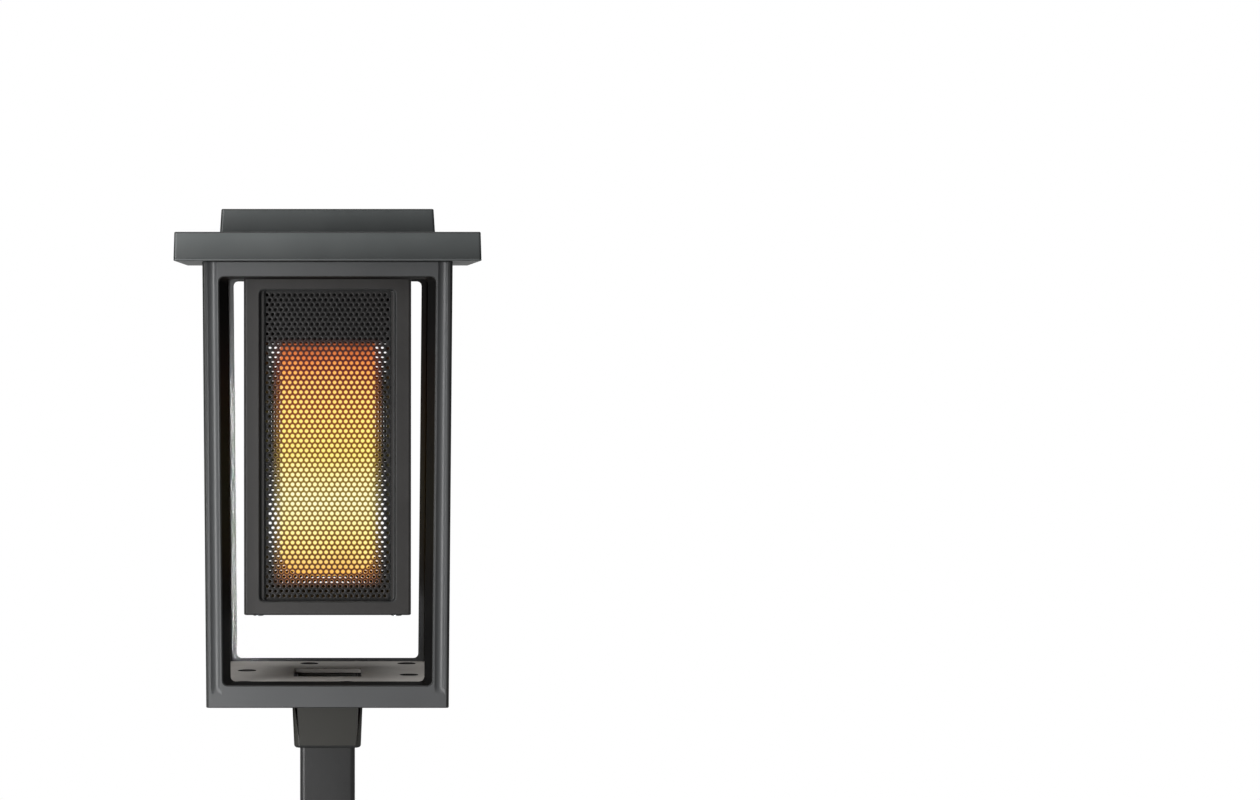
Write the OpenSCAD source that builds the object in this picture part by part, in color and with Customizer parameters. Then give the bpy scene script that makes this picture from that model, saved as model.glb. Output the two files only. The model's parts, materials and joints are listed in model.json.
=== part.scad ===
// Solar flame lantern torch: a lantern head on a two-section square pole with a push-in stake.
// The origin is the tip of the stake, +Z is up, the front faces -Y and the foot pedal points to +X.

/* [Stake] */
// Height of the stake from its tip to the top of its flange
stake_h = 147; // [125:1:180]
// Height of the sharpened point
point_h = 18; // [12:1:22]
// Width of the stake where its point begins
shoulder_w = 15.4; // [12:0.2:18]
// Width of the stake just under its flange
stake_w = 28.2; // [24:0.2:34]
// Thickness of the stake's cross-shaped blades
blade_t = 3.4; // [2.5:0.1:5]
// Height of the fluted head under the flange
head_h = 69; // [50:1:80]
// Thickness of the flange
flange_t = 3.5; // [2.5:0.1:6]
// How far the flange stands out past the pole on each side
flange_out = 2; // [1:0.1:4]
// Height of the neck that shows between the flange and the pole
neck_h = 20; // [10:0.5:30]
// Length of the plug that goes up into the pole
plug_len = 32; // [28:1:60]
// Free space between the pole and the pedal
pedal_gap = 4.2; // [3:0.1:8]
// Length of the foot pedal
pedal_len = 43.2; // [36:0.2:60]
// Depth of the foot pedal from front to back
pedal_d = 26; // [20:0.5:34]
// Thickness of the foot pedal
pedal_t = 15.6; // [12:0.2:20]
// Length of the side spike under the pedal
spike_len = 54.8; // [40:0.2:66]
// Width of the side spike where it leaves the pedal
spike_w = 14.8; // [12:0.2:18]

/* [Pole] */
// Width of the square pole
pole_w = 28; // [23:0.1:34]
// Wall of the pole tube
pole_wall = 1.5; // [1:0.1:2]
// Corner radius of the pole
pole_r = 2.6; // [1.8:0.1:4]
// Length of the lower pole section
lower_len = 482.5; // [300:0.5:700]
// Length of the upper pole section, with the part inside the lantern's socket
upper_len = 505.3; // [320:0.1:720]
// Length of the joining plug inside each pole section
insert_len = 32; // [28:1:60]

/* [Socket and floor] */
// Length of pole that the lantern's socket takes
grip_len = 24.4; // [23.5:0.1:34]
// Height of the socket collar below the lantern frame
collar_h = 26; // [25.5:0.1:36]
// Wall of the collar at its lower end
collar_wall = 2.65; // [2:0.05:4]
// How much wider the collar is at its upper end
collar_flare = 2.3; // [0:0.1:4]
// Thickness of the floor tray
floor_t = 2.2; // [1.6:0.1:3]
// Diameter of the round moulding marks in the floor
mark_d = 9.5; // [6:0.5:12]

/* [Lantern frame] */
// Outer width of the lantern frame at its top
frame_w = 123.3; // [110:0.1:160]
// How far each side leans outward from bottom to top
frame_lean = 1.65; // [0:0.05:4]
// Height of the lantern frame
frame_h = 220.7; // [190:0.1:300]
// Wall thickness of the frame
frame_wall = 8.3; // [7.5:0.1:10]
// Width of a corner post as seen from the front
post_w = 8.2; // [7:0.1:10]
// Height of the top rail
top_rail_h = 7.7; // [5:0.1:12]
// Height of the bottom rail
bottom_rail_h = 11.1; // [10.8:0.1:16]
// How far each side of a window narrows on its way in
reveal_side = 3.9; // [1:0.1:5]
// How far the top and bottom of a window narrow on their way in
reveal_end = 1.2; // [0.5:0.1:3]
// Width of the upright flute in each face of a post
flute_w = 4.9; // [3:0.1:5.8]
// Depth of the flutes
flute_d = 1.4; // [0.6:0.1:2]
// Flat strip between a flute and the outer edge of its post
flute_margin = 2.4; // [1.6:0.1:3]
// Corner radius of the windows
window_r = 2.4; // [1:0.1:4]

/* [Roof] */
// How far the eave stands out past the frame
overhang = 13.5; // [13.5:0.1:20]
// Height of the eave
eave_h = 12.9; // [11.5:0.1:18]
// How far each side of the eave leans in toward its top
eave_lean = 0.4; // [0:0.05:1.5]
// Width of the flat step from the eave's edge to the upper tier
step_w = 21.5; // [16:0.1:24]
// Height of the upper tier
tier_h = 13.1; // [12.6:0.1:24]
// How far each side of the upper tier leans in toward its top
tier_lean = 0.75; // [0:0.05:1.5]
// Wall of the roof moulding
roof_wall = 2.2; // [1.6:0.1:3]
// Corner radius of the roof
roof_r = 1.6; // [1:0.1:3]
// Thickness of the base plate's edge, seen under the eave
base_edge = 1.2; // [0.8:0.1:2]
// Width of the rim round the solar panel
panel_rim = 4.5; // [3.5:0.1:8]
// Thickness of the solar panel board
panel_t = 1.6; // [1.2:0.1:2.4]

/* [Cage] */
// Gap between the frame's wall and the cage
cage_gap = 11.6; // [8:0.1:14]
// Gap between the floor and the cage
cage_drop = 33.6; // [20:0.1:50]
// Wall of the cage
cage_wall = 3; // [2.4:0.1:4]
// Width of the cage's side stiles
stile_w = 8; // [6.5:0.1:10]
// Height of the cage's bottom rail
sill_h = 7; // [5.5:0.1:10]
// Height of the cage's top rail
head_rail_h = 14; // [8:0.1:20]
// Thickness of the mesh sheets
sheet_t = 0.6; // [0.4:0.1:1]

/* [Flame module] */
// Diameter of the frosted diffuser
diffuser_d = 48.5; // [40:0.1:58]
// Wall of the diffuser
diffuser_wall = 1.6; // [1.2:0.1:2.4]
// Radius of the diffuser's lower edge
diffuser_r = 12; // [8:0.5:16]
// Gap between the cage's lower edge and the diffuser
diffuser_gap = 17.3; // [12:0.1:30]
// Height of the black holder above the diffuser
holder_h = 40.9; // [30:0.1:50]
// Diameter of the core that carries the lights
core_d = 30; // [24:0.5:34]
// Number of rows of lights
led_rows = 8; // [6:1:10]

/* [Power] */
// Diameter of the battery cell
cell_d = 18.2; // [14:0.1:18.4]
// Length of the battery cell
cell_len = 65; // [50:0.5:66]
// Diameter of the power button
button_d = 8; // [6:0.1:8]
// How far the power button stands out
button_out = 1.6; // [1.3:0.1:2]

/* [Hidden] */
$fn = 64;

// Clearances
slip = 0.3;          // between a pole and what it slides on
seat = 0.3;          // between two ends that meet when the torch stands
snug = 0.1;          // between fixed parts that drop into each other
button_play = 0.08;  // between the power button and its bore
eps = 0.5;           // how far a cutter runs past the face it opens

// Self-tapping screws
screw_d = 2.8;
screw_hole_d = 3;
screw_head_d = 5.2;
screw_head_h = 1.8;
screw_sink = 2;      // depth of the pockets that hide the heads under the eave
screw_depth = 9;     // depth of the holes for screws down from the roof base

// Levels, from the tip of the stake up
neck_top_z = stake_h + neck_h;
pole_foot_z = neck_top_z + seat;
joint_z = pole_foot_z + lower_len;
upper_foot_z = joint_z + seat;
pole_top_z = upper_foot_z + upper_len;
collar_z = pole_top_z - grip_len;
frame_z = collar_z + collar_h;
floor_z = frame_z + bottom_rail_h - 0.5;
eave_z = frame_z + frame_h;
tier_z = eave_z + eave_h;
top_z = tier_z + tier_h;

// Pole and what fits it
pole_bore = pole_w - 2 * pole_wall;
plug_w = pole_bore - 2 * slip;
plug_wall = 3;
plug_r = 1.4;
lead_in_h = 3;
lead_in_w = 1.2;
neck_w = plug_w + pole_wall;
socket_bore = pole_w + 2 * slip;
socket_lip = 3;
collar_w = socket_bore + 2 * collar_wall;
collar_top_w = collar_w + collar_flare;

// Frame
frame_foot_w = frame_w - 2 * frame_lean;
frame_mid_w = frame_w - frame_lean;
lean_angle = atan(frame_lean / frame_h);
cavity_top_w = frame_w - 2 * frame_wall;
cavity_foot_w = frame_foot_w - 2 * frame_wall;
window_h = frame_h - top_rail_h - bottom_rail_h;
window_z = frame_z + bottom_rail_h + window_h / 2;
window_top_w = frame_w - 2 * post_w;
window_foot_w = frame_foot_w - 2 * post_w;
floor_w = cavity_foot_w - 2 * snug;
gusset_w = 12;
gusset_t = 2.4;
gusset_z = 1;         // height of the gussets above the frame's foot
tray_screw_x = cavity_foot_w / 2 - 5;
frame_screw_x = frame_w / 2 - 4.4;
flute_out = 1.5;      // how far a flute's cutter stands out past the post

// Roof
eave_foot_w = frame_w + 2 * overhang;
eave_top_w = eave_foot_w - 2 * eave_lean;
tier_foot_w = eave_top_w - 2 * step_w;
tier_top_w = tier_foot_w - 2 * tier_lean;
land_t = 1.5;
base_top_z = eave_z + base_edge + land_t;
land_w = eave_top_w - 2 * roof_wall - 2 * snug;
tier_room_w = tier_top_w - 2 * roof_wall;
roof_screw_x = frame_w / 2 + overhang / 2 - 0.6;
roof_boss_d = 6.4;
panel_w = tier_top_w - 2 * panel_rim;
panel_top_z = top_z - 0.4;
panel_z = panel_top_z - panel_t - 0.5;
gasket_t = 0.8;
ledge_w = 4;
gasket_z = panel_z - gasket_t;

// Cage
cage_w = cavity_top_w - 2 * cage_gap;
cage_z = floor_z + cage_drop;
cage_h = eave_z - cage_z;
cage_room_w = cage_w - 2 * cage_wall;
cage_window_w = cage_w - 2 * stile_w;
cage_window_h = cage_h - sill_h - head_rail_h;
cage_window_z = cage_z + sill_h + cage_window_h / 2;
column_w = 7;
column_x = cage_room_w / 2 - column_w / 2 - sheet_t;
sheet_w = cage_window_w + 8;
sheet_h = cage_window_h + 8;
cage_floor_t = 2;
cage_floor_z = cage_z + 1;

// Flame module
diffuser_z = cage_z + diffuser_gap;
holder_z = eave_z - holder_h;
holder_wall = 1.6;
holder_lip = 6;
holder_cap_t = 2.4;
cable_hole_d = 9;
holder_d = diffuser_d + 2 * snug;
holder_w = 2 * (column_x - column_w / 2 - snug);
core_wall = 2;
core_z = diffuser_z + diffuser_wall + 8;
core_seat = 3;
core_top_z = holder_z + holder_lip + core_seat;
core_face = core_d / 2 * cos(15);
board_t = 0.6;
led_columns = 12;
led_w = 3.5;
led_h = 2.8;
led_t = 0.9;
led_pitch = (holder_z - core_z - 6) / (led_rows - 1);
holder_screw_r = diffuser_d / 2 - 6;

// Power pieces in the roof
board_len = 58;
board_w = 30;
board_post_h = 2.4;
board_z = base_top_z + board_post_h;
board_y = -22;
board_thick = 1.2;
cell_y = 22;
cradle_t = 1;
cell_z = base_top_z + cradle_t + cell_d / 2;
cradle_len = cell_len + 8;
cradle_w = cell_d + 1.6;
contact_t = 0.5;
switch_w = 14;
switch_d = 7.4;
switch_h = 5.2;
button_bore_d = button_d + 2 * button_play;
button_travel = 1.2;
button_y = frame_w / 2 + button_bore_d / 2 + 1.7;
button_ring_d = button_bore_d + 2.6;
button_flange_d = button_d + 1.8;
button_flange_t = 0.8;
button_arch = button_flange_t + button_travel + 0.3;
wire_d = 1.2;

charcoal = [0.16, 0.17, 0.18];
plastic_black = [0.06, 0.06, 0.07];
steel = [0.62, 0.63, 0.65];

// Outline of a rectangle or trapezoid with rounded corners, centred on the origin
function round_trapezoid(foot_w, top_w, h, r, n = 5) = [
    for (corner = [0:3], i = [0:n])
        let (
            a = 90 * (corner + i / n),
            x = ((corner < 2) ? top_w : foot_w) / 2 - r,
            side = (corner == 0 || corner == 3) ? 1 : -1,
            end = (corner < 2) ? 1 : -1
        )
        [side * x + r * cos(a), end * (h / 2 - r) + r * sin(a)]
];

function round_square(w, r, n = 5) = round_trapezoid(w, w, w, r, n);

// Upright block with a square rounded section that changes width from foot to top
module tapered_block(foot_w, top_w, h, r) {
    linear_extrude(height = h, scale = top_w / foot_w)
        polygon(round_square(foot_w, r));
}

module square_block(w, h, r) {
    linear_extrude(height = h)
        polygon(round_square(w, r));
}

// Square block whose top narrows, to lead it into a tube
module led_in_block(w, h) {
    square_block(w, h - lead_in_h, plug_r);
    translate([0, 0, h - lead_in_h])
        tapered_block(w, w - 2 * lead_in_w, lead_in_h, plug_r);
}

// Copies of a shape on the four sides of the torch, the first one on the front
module on_four_sides() {
    for (turn = [0:90:270])
        rotate([0, 0, turn])
            children();
}

// Copies of a shape on the four corners, at x and y of the same size
module on_four_corners(x) {
    for (sx = [-1, 1], sy = [-1, 1])
        translate([sx * x, sy * x, 0])
            children();
}

// Screw that points up or down from its head's bearing face at the origin
module screw(length, points_up = true) {
    mirror([0, 0, points_up ? 0 : 1])
        difference() {
            union() {
                cylinder(d = screw_d, h = length);
                translate([0, 0, -screw_head_h])
                    cylinder(d = screw_head_d, h = screw_head_h);
            }
            for (turn = [0, 90])
                rotate([0, 0, turn])
                    translate([-1.5, -0.3, -screw_head_h - eps])
                        cube([3, 0.6, 1 + eps]);
        }
}

function unit(v) = v / norm(v);

// Ring of offsets square to the first stretch of a route
function first_ring(route, d, n) =
    let (
        along = unit(route[1] - route[0]),
        side = unit(cross(along, abs(along[2]) > 0.9 ? [1, 0, 0] : [0, 0, 1])),
        up = cross(along, side)
    )
    [for (k = [0:n - 1]) d / 2 * (cos(360 * k / n) * side + sin(360 * k / n) * up)];

// The same ring slid along to point j, onto the plane that halves the bend there
function carried_ring(route, ring, j) =
    let (
        along = unit(route[j] - route[j - 1]),
        plane = j == len(route) - 1 ? along : unit(along + unit(route[j + 1] - route[j]))
    )
    [for (o = ring) o - along * ((o * plane) / (along * plane))];

function route_rings(route, ring, j = 0) = concat(
    [[for (o = ring) route[j] + o]],
    j == len(route) - 1 ? [] : route_rings(route, carried_ring(route, ring, j + 1), j + 1)
);

// Closed solid through a stack of rings, which all have the same number of points
module skin(rings) {
    n = len(rings[0]);
    last = (len(rings) - 1) * n;
    polyhedron(
        points = [for (ring = rings) each ring],
        faces = concat(
            [[for (k = [0:n - 1]) k]],
            [for (j = [0:len(rings) - 2], k = [0:n - 1])
                let (a = j * n + k, b = j * n + (k + 1) % n)
                [a, a + n, b + n, b]],
            [[for (k = [n - 1:-1:0]) last + k]]
        )
    );
}

// Six-sided wire with mitred bends along a route
module wire(route, d = wire_d) {
    skin(route_rings(route, first_ring(route, d, 6)));
}

// ---- Stake ----

spike_x = pole_w / 2 + pedal_gap + pedal_len;
pedal_x = pole_w / 2 + pedal_gap;
pedal_z = stake_h;
web_x = pedal_x + pedal_len - spike_w - 12;  // where the web under the pedal ends
head_z = stake_h - head_h;
head_foot_w = shoulder_w + (stake_w - shoulder_w) * (head_z - point_h) / (stake_h - point_h);

// Two crossed blades, one of them with a web that runs out to the pedal
module stake_blades() {
    tip_w = 0.8;
    web_foot_x = head_foot_w / 2 + 3;
    web_knee_z = head_z + 25;
    rotate([90, 0, 0])
        linear_extrude(height = blade_t, center = true)
            polygon([
                [-tip_w / 2, 0], [tip_w / 2, 0], [shoulder_w / 2, point_h],
                [web_foot_x, head_z], [pedal_x, web_knee_z],
                [web_x, stake_h], [-stake_w / 2, stake_h], [-shoulder_w / 2, point_h]
            ]);
    rotate([90, 0, 90])
        linear_extrude(height = blade_t, center = true)
            polygon([
                [-tip_w / 2, 0], [tip_w / 2, 0], [shoulder_w / 2, point_h],
                [stake_w / 2, stake_h], [-stake_w / 2, stake_h], [-shoulder_w / 2, point_h]
            ]);
}

// Head of the stake with three upright grooves in each face
module stake_head() {
    groove_w = 3;
    groove_d = 1.1;
    groove_pitch = 7.3;
    difference() {
        translate([0, 0, head_z])
            tapered_block(head_foot_w, stake_w, head_h, 1.5);
        on_four_sides()
            for (i = [-1:1])
                translate([i * groove_pitch - groove_w / 2, -stake_w / 2 - eps, head_z - eps])
                    cube([groove_w, groove_d + (stake_w - head_foot_w) / 2 + eps, head_h - flange_t]);
    }
}

module stake_flange() {
    flange_w = pole_w + 2 * flange_out;
    lap = 4;
    translate([0, 0, stake_h - flange_t])
        square_block(flange_w, flange_t, 2);
    translate([flange_w / 2 - lap, -pedal_d / 2, stake_h - flange_t])
        cube([web_x - flange_w / 2 + lap, pedal_d, flange_t]);
}

// Neck, and above it the hollow plug that the lower pole slides on
module stake_plug() {
    floor_h = 4;
    translate([0, 0, stake_h])
        square_block(neck_w, neck_h, 1.6);
    difference() {
        translate([0, 0, neck_top_z])
            led_in_block(plug_w, plug_len);
        translate([0, 0, neck_top_z + floor_h])
            square_block(plug_w - 2 * plug_wall, plug_len, 1);
    }
}

// Foot pedal with a ridged top, a rounded toe and a pocket underneath
module pedal() {
    toe_r = 5;
    wall = 2.4;
    top_t = 3;
    rib_t = 2.4;
    heel = 4;
    ridge_h = 1;
    ridge_count = 7;
    ridge_pitch = (pedal_len - toe_r - heel) / ridge_count;
    difference() {
        translate([pedal_x, 0, pedal_z])
            rotate([90, 0, 0])
                linear_extrude(height = pedal_d, center = true)
                    polygon(concat(
                        [[0, pedal_t], [0, 0], [pedal_len, 0]],
                        [for (a = [0:18:90]) [
                            pedal_len - toe_r + toe_r * cos(a),
                            pedal_t - toe_r + toe_r * sin(a)
                        ]]
                    ));
        for (i = [0:ridge_count - 1])
            translate([pedal_x + heel + i * ridge_pitch, -pedal_d / 2 - eps, pedal_z + pedal_t - ridge_h])
                cube([ridge_pitch / 2, pedal_d + 2 * eps, ridge_h + eps]);
        for (side = [-1, 1])
            translate([pedal_x + wall, side > 0 ? rib_t / 2 : -pedal_d / 2 + wall, pedal_z - eps])
                cube([pedal_len - spike_w - wall, pedal_d / 2 - wall - rib_t / 2, pedal_t - top_t + eps]);
    }
}

// Spike that stops the stake from turning, with its outer edge nearly upright
module side_spike() {
    spike_t = 6;
    tip_x = 2;
    tip_w = 1.2;
    translate([spike_x, 0, 0])
        rotate([90, 0, 0])
            linear_extrude(height = spike_t, center = true)
                polygon([
                    [-spike_w, pedal_z + 0.2], [0.6, pedal_z + 0.2], [tip_x, pedal_z - spike_len],
                    [tip_x - tip_w, pedal_z - spike_len + tip_w]
                ]);
}

module ground_stake() {
    color(plastic_black)
        union() {
            stake_blades();
            stake_head();
            stake_flange();
            stake_plug();
            pedal();
            side_spike();
        }
}

// ---- Poles ----

module pole_tube(length) {
    difference() {
        square_block(pole_w, length, pole_r);
        translate([0, 0, -eps])
            square_block(pole_bore, length + 2 * eps, max(pole_r - pole_wall, 0.4));
    }
}

module pole_lower() {
    color(charcoal)
        translate([0, 0, pole_foot_z])
            pole_tube(lower_len);
}

// Plug fixed in the lower section, with a slim upper half for the upper section to slide on
module joint_insert() {
    key_w = 6;
    color(plastic_black)
        difference() {
            union() {
                translate([0, 0, joint_z - insert_len])
                    square_block(pole_bore - 2 * snug, insert_len, plug_r);
                translate([0, 0, joint_z])
                    led_in_block(plug_w, insert_len);
                translate([-pole_bore / 2, -key_w / 2, joint_z - insert_len / 2])
                    cube([pole_bore, key_w, key_w]);
            }
            translate([0, 0, joint_z - insert_len - eps])
                square_block(plug_w - 2 * plug_wall, 2 * insert_len + 2 * eps, 1);
        }
}

module pole_upper() {
    color(charcoal)
        translate([0, 0, upper_foot_z])
            pole_tube(upper_len);
}

// ---- Socket and floor ----

socket_flange_out = 14;
socket_flange_w = collar_top_w + 2 * socket_flange_out;
socket_flange_t = 2.6;
socket_flange_z = floor_z - floor_t - socket_flange_t;
socket_screw_x = collar_top_w / 2 + 8;
slot_w = socket_bore + 6;

// Collar that takes the pole, with a lip for the pole's end and a flange under the floor
module pole_socket() {
    lip_t = 2;
    room_h = socket_flange_z + socket_flange_t - collar_z;
    color(charcoal)
        difference() {
            union() {
                translate([0, 0, collar_z])
                    tapered_block(collar_w, collar_top_w, collar_h, 3);
                translate([0, 0, frame_z])
                    square_block(collar_top_w, socket_flange_z - frame_z + socket_flange_t, 3);
                translate([0, 0, socket_flange_z])
                    square_block(socket_flange_w, socket_flange_t, 3);
            }
            translate([0, 0, collar_z - eps])
                square_block(socket_bore, grip_len + seat + eps, 2.8);
            translate([0, 0, collar_z])
                square_block(socket_bore - 2 * socket_lip, room_h + eps, 1.5);
            translate([0, 0, collar_z + grip_len + seat + lip_t])
                square_block(socket_bore + 2, room_h, 1.5);
            on_four_corners(socket_screw_x)
                translate([0, 0, socket_flange_z - eps])
                    cylinder(d = screw_hole_d, h = 10);
        }
}

module socket_screws() {
    color(steel)
        on_four_corners(socket_screw_x)
            translate([0, 0, socket_flange_z])
                screw(socket_flange_t + floor_t - 0.6);
}

// Floor of the lantern with a square slot over the pole and six shallow round marks, two at corners
module floor_tray() {
    pillar_d = 7;
    pillar_z = frame_z + gusset_z + gusset_t;
    mark_x = floor_w / 2 - 10;
    mark_shift = 9.6;
    mark_depth = 0.5;
    marks = [
        [-mark_shift, mark_x], [mark_shift, -mark_x], [-mark_x, mark_shift], [mark_x, -mark_shift],
        [mark_x, mark_x], [-mark_x, -mark_x]
    ];
    color(charcoal)
        difference() {
            union() {
                translate([0, 0, floor_z - floor_t])
                    square_block(floor_w, floor_t, 1);
                on_four_corners(tray_screw_x)
                    translate([0, 0, pillar_z])
                        cylinder(d = pillar_d, h = floor_z - floor_t - pillar_z);
            }
            translate([0, 0, floor_z - floor_t - eps])
                square_block(slot_w, floor_t + 2 * eps, 1.5);
            for (mark = marks)
                translate([mark[0], mark[1], floor_z - mark_depth])
                    cylinder(d = mark_d, h = mark_depth + eps);
            on_four_corners(tray_screw_x)
                translate([0, 0, frame_z])
                    cylinder(d = screw_hole_d, h = floor_z - 0.8 - frame_z);
            on_four_corners(socket_screw_x)
                translate([0, 0, floor_z - floor_t - eps])
                    cylinder(d = screw_hole_d, h = floor_t - 0.5 + eps);
        }
}

module tray_screws() {
    color(steel)
        on_four_corners(tray_screw_x)
            translate([0, 0, frame_z + gusset_z])
                screw(gusset_t + 5);
}

// ---- Lantern frame ----

// Cutter for one window, which narrows evenly on its way in and runs past both faces of the wall
module window_cut() {
    above_middle = (bottom_rail_h - top_rail_h) / 2;
    past = 2;
    translate([0, -frame_mid_w / 2 - above_middle * tan(lean_angle), window_z])
        rotate([90 + lean_angle, 0, 0])
            skin([for (level = [-frame_wall - past, past])
                let (share = -level / frame_wall, side = share * reveal_side)
                [for (point = round_trapezoid(
                    window_foot_w - 2 * side, window_top_w - 2 * side,
                    window_h - 2 * share * reveal_end, window_r, 4
                )) [point[0], point[1], level]]]);
}

// Outline of one flute's cutter at a height above the frame's foot
function flute_ring(side, height, depth) =
    let (
        shift = frame_lean * height / frame_h,
        x = side * (frame_foot_w / 2 - flute_margin - flute_w / 2 + shift),
        y = -frame_foot_w / 2 - shift,
        reach = 1.2,
        steps = 8
    )
    concat(
        [for (end = [-1, 1]) [x + end * reach * flute_w / 2, y - flute_out, frame_z + height]],
        [for (i = [0:steps])
            let (t = reach * (1 - 2 * i / steps))
            [x + t * flute_w / 2, y + depth * (1 - t * t), frame_z + height]]
    );

// Cutter for the two flutes of one side, which lean with their posts and run out at the foot
module flute_cut() {
    foot = bottom_rail_h - 4.5;
    runout = 4;
    for (side = [-1, 1])
        skin([
            flute_ring(side, foot, -0.2),
            flute_ring(side, foot + runout, flute_d),
            flute_ring(side, frame_h + eps, flute_d)
        ]);
}

// Four leaning walls, open at the top and the bottom
module frame_walls() {
    past = frame_lean * 2 * eps / frame_h;
    difference() {
        translate([0, 0, frame_z])
            tapered_block(frame_foot_w, frame_w, frame_h, 1.4);
        translate([0, 0, frame_z - eps])
            tapered_block(cavity_foot_w - past, cavity_top_w + past, frame_h + 2 * eps, 1);
    }
}

module frame_gussets() {
    reach = 1;
    size = gusset_w + reach;
    on_four_corners(cavity_foot_w / 2 + reach - size / 2)
        translate([-size / 2, -size / 2, frame_z + gusset_z])
            cube([size, size, gusset_t]);
}

module lantern_frame() {
    color(charcoal)
        difference() {
            union() {
                frame_walls();
                frame_gussets();
            }
            on_four_sides() {
                window_cut();
                flute_cut();
            }
            on_four_corners(tray_screw_x)
                translate([0, 0, frame_z - eps])
                    cylinder(d = screw_hole_d, h = gusset_z + gusset_t + 2 * eps);
            on_four_corners(frame_screw_x)
                translate([0, 0, eave_z - screw_depth])
                    cylinder(d = screw_hole_d, h = screw_depth + eps);
        }
}

module frame_screws() {
    color(steel)
        on_four_corners(frame_screw_x)
            translate([0, 0, base_top_z])
                screw(base_top_z - eave_z + screw_depth - 2, points_up = false);
}

// ---- Roof ----

// Plate that closes the roof from below and carries everything inside the lantern
module roof_base() {
    through = base_edge + land_t + 2 * eps;
    skin_t = 0.4;
    color(charcoal)
        difference() {
            union() {
                translate([0, 0, eave_z])
                    square_block(eave_foot_w, base_edge, roof_r);
                translate([0, 0, eave_z + base_edge])
                    square_block(land_w, land_t, roof_r);
                board_posts();
            }
            on_four_corners(roof_screw_x)
                translate([0, 0, eave_z - eps])
                    cylinder(d = screw_hole_d, h = through);
            on_four_corners(roof_screw_x)
                translate([0, 0, eave_z - eps])
                    cylinder(d = screw_head_d + 0.6, h = screw_sink + eps);
            on_four_corners(frame_screw_x)
                translate([0, 0, eave_z - eps])
                    cylinder(d = screw_hole_d, h = through);
            on_four_corners(column_x)
                translate([0, 0, eave_z - eps])
                    cylinder(d = screw_hole_d, h = through);
            holder_screw_places()
                translate([0, 0, eave_z - eps])
                    cylinder(d = screw_hole_d, h = base_edge + land_t - skin_t + eps);
            translate([0, 0, eave_z - eps])
                cylinder(d = cable_hole_d, h = through);
            translate([0, button_y, eave_z - eps])
                cylinder(d = button_bore_d, h = through);
        }
}

module board_posts() {
    board_screw_places()
        translate([0, 0, base_top_z])
            difference() {
                cylinder(d = 5.6, h = board_post_h);
                translate([0, 0, 0.6])
                    cylinder(d = screw_hole_d, h = board_post_h);
            }
}

// Roof moulding, open below, with a ledge round the inside of its tier for the panel's gasket
module roof_cap() {
    shell_z = eave_z + base_edge;
    shell_h = eave_h - base_edge;
    ledge_t = 1.6;
    recess_h = top_z - panel_z + gasket_t;
    color(charcoal)
        difference() {
            union() {
                difference() {
                    translate([0, 0, shell_z])
                        tapered_block(eave_foot_w, eave_top_w, shell_h, roof_r);
                    translate([0, 0, shell_z - eps])
                        square_block(land_w + 2 * snug, shell_h - roof_wall + eps, roof_r);
                }
                translate([0, 0, tier_z])
                    tapered_block(tier_foot_w, tier_top_w, tier_h, roof_r);
                on_four_corners(roof_screw_x)
                    translate([0, 0, base_top_z])
                        cylinder(d = roof_boss_d, h = tier_z - base_top_z - 1);
            }
            translate([0, 0, tier_z - roof_wall - eps])
                square_block(tier_room_w - 2 * ledge_w, tier_h + roof_wall + 2 * eps, 1);
            translate([0, 0, tier_z - roof_wall - eps])
                square_block(tier_room_w, gasket_z - ledge_t - tier_z + roof_wall + eps, 1);
            translate([0, 0, top_z - recess_h])
                square_block(panel_w + 2 * snug, recess_h + eps, 1.2);
            on_four_corners(roof_screw_x)
                translate([0, 0, base_top_z - eps])
                    cylinder(d = screw_hole_d, h = 6.5);
        }
}

module roof_screws() {
    color(steel)
        on_four_corners(roof_screw_x)
            translate([0, 0, eave_z + screw_sink])
                screw(base_top_z - eave_z - screw_sink + 5.5);
}

module solar_panel() {
    color([0.75, 0.78, 0.74])
        translate([0, 0, panel_z])
            square_block(panel_w, panel_t, 1.2);
}

// Two rows of four cells on the board, under a thin clear coat
module solar_cells() {
    margin = 3;
    gap = 1.2;
    cell_w = (panel_w - 2 * margin - 3 * gap) / 4;
    cell_l = (panel_w - 2 * margin - gap) / 2;
    color([0.05, 0.08, 0.2])
        for (column = [0:3], row = [0:1])
            translate([
                -panel_w / 2 + margin + column * (cell_w + gap),
                -panel_w / 2 + margin + row * (cell_l + gap),
                panel_z + panel_t
            ])
                cube([cell_w, cell_l, 0.4]);
}

module panel_gasket() {
    color([0.12, 0.12, 0.12])
        translate([0, 0, gasket_z])
            difference() {
                square_block(panel_w, gasket_t, 1.2);
                translate([0, 0, -eps])
                    square_block(tier_room_w - 2 * ledge_w, gasket_t + 2 * eps, 1);
            }
}

// ---- Cage ----

// Square shell with a window in each side
module cage_frame() {
    foot_screw_depth = 12;
    color([0.27, 0.27, 0.27])
        difference() {
            union() {
                difference() {
                    translate([0, 0, cage_z])
                        square_block(cage_w, cage_h, 1.5);
                    translate([0, 0, cage_z - eps])
                        square_block(cage_room_w, cage_h + 2 * eps, 1);
                    on_four_sides()
                        translate([0, -cage_w / 2 - eps, cage_window_z])
                            rotate([-90, 0, 0])
                                linear_extrude(height = cage_wall + 2 * eps)
                                    polygon(round_trapezoid(cage_window_w, cage_window_w, cage_window_h, 2));
                }
                cage_columns();
            }
            on_four_corners(column_x)
                translate([0, 0, eave_z - screw_depth])
                    cylinder(d = screw_hole_d, h = screw_depth + eps);
            on_four_corners(column_x)
                translate([0, 0, cage_z])
                    cylinder(d = screw_hole_d, h = foot_screw_depth);
        }
}

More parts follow.
